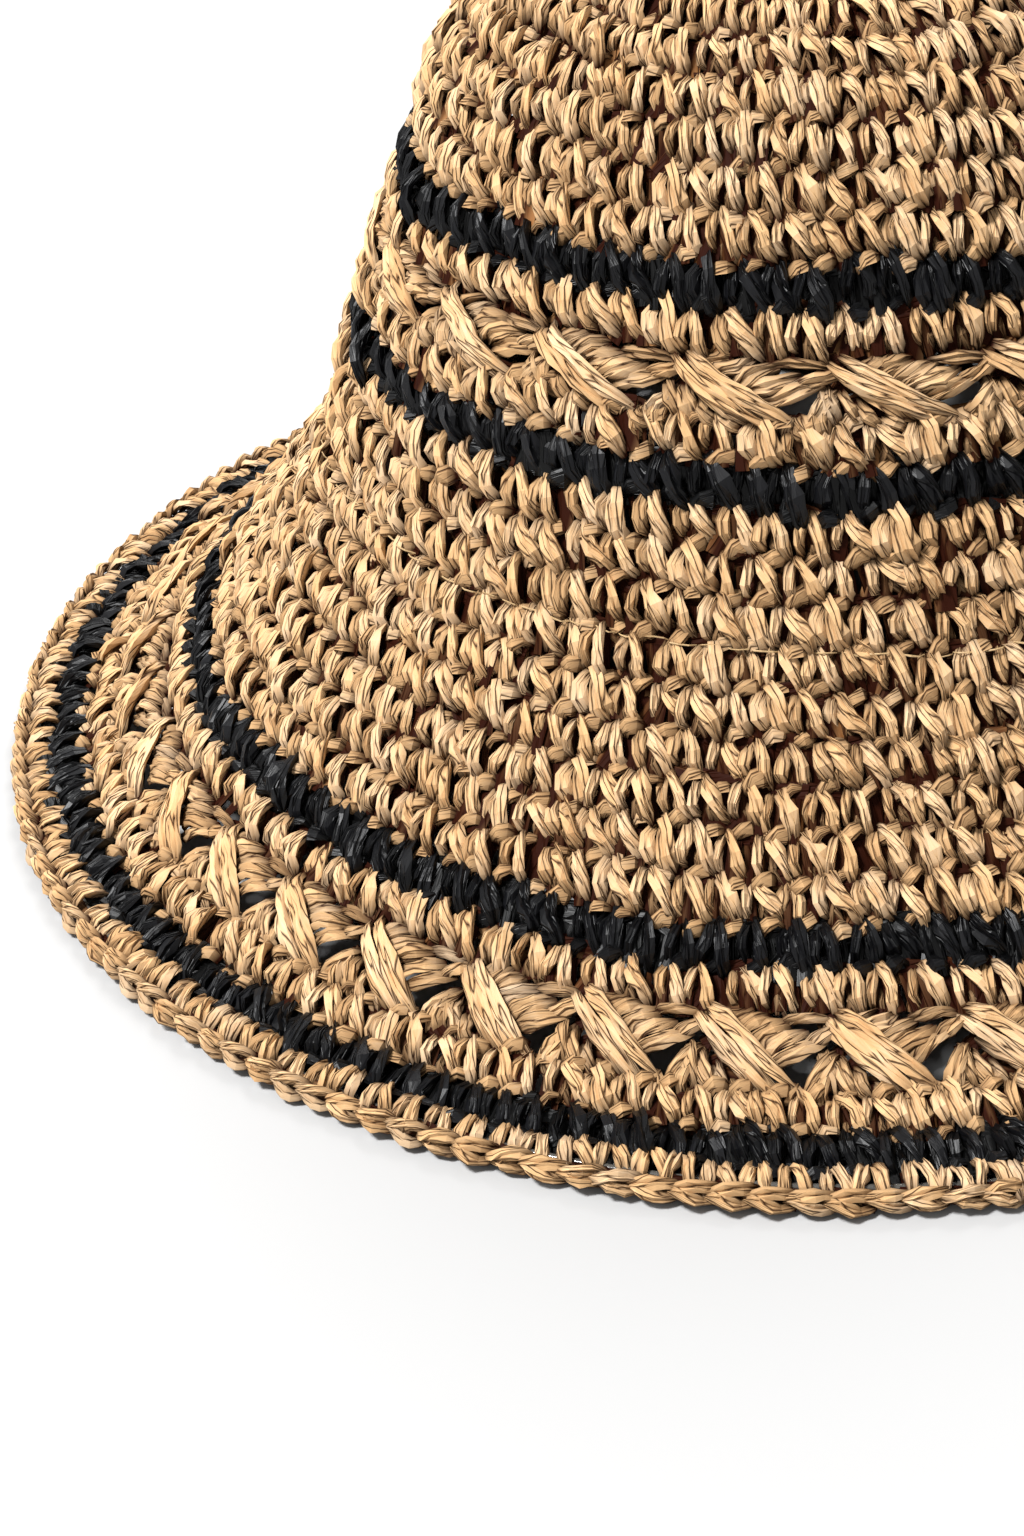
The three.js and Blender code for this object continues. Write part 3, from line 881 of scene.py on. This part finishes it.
def revolved(name, profile, material, node, segments=200):
    """A closed profile of (reach, height) points turned about the hat's axis, with UV in metres."""
    ring = len(profile)
    vertices = [(reach * math.cos(turn), reach * math.sin(turn), height)
                for turn in around(segments) for reach, height in profile]
    steps = [math.dist(profile[i], profile[(i + 1) % ring]) for i in range(ring)]
    along = np.concatenate([[0], np.cumsum(steps)])
    faces, uvs = [], []
    for segment in range(segments):
        here, beyond = segment * ring, (segment + 1) % segments * ring
        for side in range(ring):
            after = (side + 1) % ring
            faces.append((here + side, here + after, beyond + after, beyond + side))
            u0, u1 = (2 * math.pi * profile[side][0] * (segment + step) / segments for step in (0, 1))
            uvs.extend([(u0, along[side]), (u0, along[side + 1]), (u1, along[side + 1]), (u1, along[side])])
    mesh = bpy.data.meshes.new(name)
    mesh.from_pydata(vertices, [], faces)
    mesh.uv_layers.new(name="StrandUV").data.foreach_set("uv", np.array(uvs, np.float32).ravel())
    mesh.shade_smooth()
    mesh.materials.append(material)
    piece = bpy.data.objects.new(name, mesh)
    bpy.context.scene.collection.objects.link(piece)
    finish_piece(piece, [node])


def profile_point(distance, offset):
    """The reach and height of a point of the profile, moved out from the wall's middle."""
    point = surface(0.0, distance, offset)[0]
    return point.x, point.z


def sweatband():
    """The ribbon, which follows the inside of the wall from just below the lower dark round of the crown."""
    start = ROWS[FLARE[0]].top + RIBBON_START * ROUND_HEIGHT
    steps = 14
    distances = [start + RIBBON_WIDTH * step / steps for step in range(steps + 1)]
    outer = [profile_point(distance, RIBBON_FACE) for distance in distances]
    inner = [profile_point(distance, RIBBON_FACE - RIBBON_THICKNESS) for distance in reversed(distances)]
    revolved("woven_sweatband", outer + inner, woven_ribbon(), "sweatband")


def brim_wire():
    """The wire that the last round is worked over, round in section."""
    radius = WIRE_THICKNESS / 2
    reach, height = profile_point(WIRE_START + radius, 0)
    circle = [(reach + radius * math.cos(turn), height + radius * math.sin(turn))
              for turn in np.linspace(2 * math.pi, 0, 10, endpoint=False)]
    revolved("clear_brim_wire", circle, nylon_line(), "brim_wire")


def ribbon_seam():
    """The machine stitches that hold the ribbon, which run along the outside of the straw."""
    distances = np.linspace(0, MERIDIAN_LENGTH, len(MERIDIAN))
    distance = float(np.interp(-THREAD_HEIGHT, -MERIDIAN[:, 1], distances))
    count = round(2 * math.pi * surface(0.0, distance)[0].x / THREAD_STITCH)
    layout = Layout(33)
    for bearing in around(count):
        layout.place("thread", bearing, distance, (1.0, 1.0, 1.0), shake=TIGHT)
    work("sewing_thread_stitches", layout, sewing_thread(), [], turn_spread=0.06)


sweatband()
brim_wire()
ribbon_seam()


# Stage

CAMERA_DISTANCE = 0.5775
CAMERA_ELEVATION = math.radians(30.98)
CAMERA_TARGET = Vector((-0.0640, 0, -0.0216))
CAMERA_ROLL = math.radians(-3.8)
SENSOR = 36
FOCAL_PIXELS, PICTURE_HEIGHT = 2932, 1536
LIGHT_TARGET = Vector((0, 0, 0.08))
FLOOR_REACH = 6.0          # from the middle of the floor to each of its edges
WORLD_STRENGTH = 0.55


def make_camera():
    """The camera, above the front of the hat and rolled a little."""
    camera = bpy.data.objects.new("camera", bpy.data.cameras.new("camera"))
    bpy.context.scene.collection.objects.link(camera)
    place = CAMERA_DISTANCE * Vector((0, -math.cos(CAMERA_ELEVATION), math.sin(CAMERA_ELEVATION)))
    forward = (CAMERA_TARGET - place).normalized()
    right = forward.cross(Vector((0, 0, 1))).normalized()
    up = right.cross(forward)
    rolled_right = right * math.cos(CAMERA_ROLL) + up * math.sin(CAMERA_ROLL)
    rolled_up = up * math.cos(CAMERA_ROLL) - right * math.sin(CAMERA_ROLL)
    turn = Matrix((rolled_right, rolled_up, -forward)).transposed().to_4x4()
    camera.matrix_world = Matrix.Translation(place) @ turn
    camera.data.lens = FOCAL_PIXELS * SENSOR / PICTURE_HEIGHT
    camera.data.sensor_width = SENSOR
    camera.data.clip_start = 0.01
    bpy.context.scene.camera = camera


def area_light(name, place, size, power):
    light = bpy.data.objects.new(name, bpy.data.lights.new(name, "AREA"))
    bpy.context.scene.collection.objects.link(light)
    light.data.shape = "DISK"
    light.data.size = size
    light.data.energy = power
    turn = (LIGHT_TARGET - Vector(place)).to_track_quat("-Z", "Y").to_matrix().to_4x4()
    light.matrix_world = Matrix.Translation(place) @ turn


def make_floor():
    mesh = bpy.data.meshes.new("floor")
    corners = [(-1, -1), (1, -1), (1, 1), (-1, 1)]
    mesh.from_pydata([(x * FLOOR_REACH, y * FLOOR_REACH, 0) for x, y in corners], [], [(0, 1, 2, 3)])
    floor = bpy.data.objects.new("floor", mesh)
    bpy.context.scene.collection.objects.link(floor)
    material = bpy.data.materials.new("matt studio paper")
    material.use_nodes = True
    shader = material.node_tree.nodes["Principled BSDF"]
    shader.inputs["Base Color"].default_value = linear("#ABABAB")
    shader.inputs["Roughness"].default_value = 0.9
    mesh.materials.append(material)


def make_light():
    """A white room with a high light from the left and front, and a wide, weak one from behind."""
    world = bpy.data.worlds.new("white studio")
    world.use_nodes = True
    background = world.node_tree.nodes["Background"]
    background.inputs["Color"].default_value = (1, 1, 1, 1)
    background.inputs["Strength"].default_value = WORLD_STRENGTH
    bpy.context.scene.world = world
    area_light("key", place=(-1.2, -0.9, 2.4), size=0.6, power=140)
    area_light("back", place=(0.3, 1.45, 1.65), size=1.2, power=34)
    bpy.context.scene.view_settings.view_transform = "Standard"


make_camera()
make_floor()
make_light()
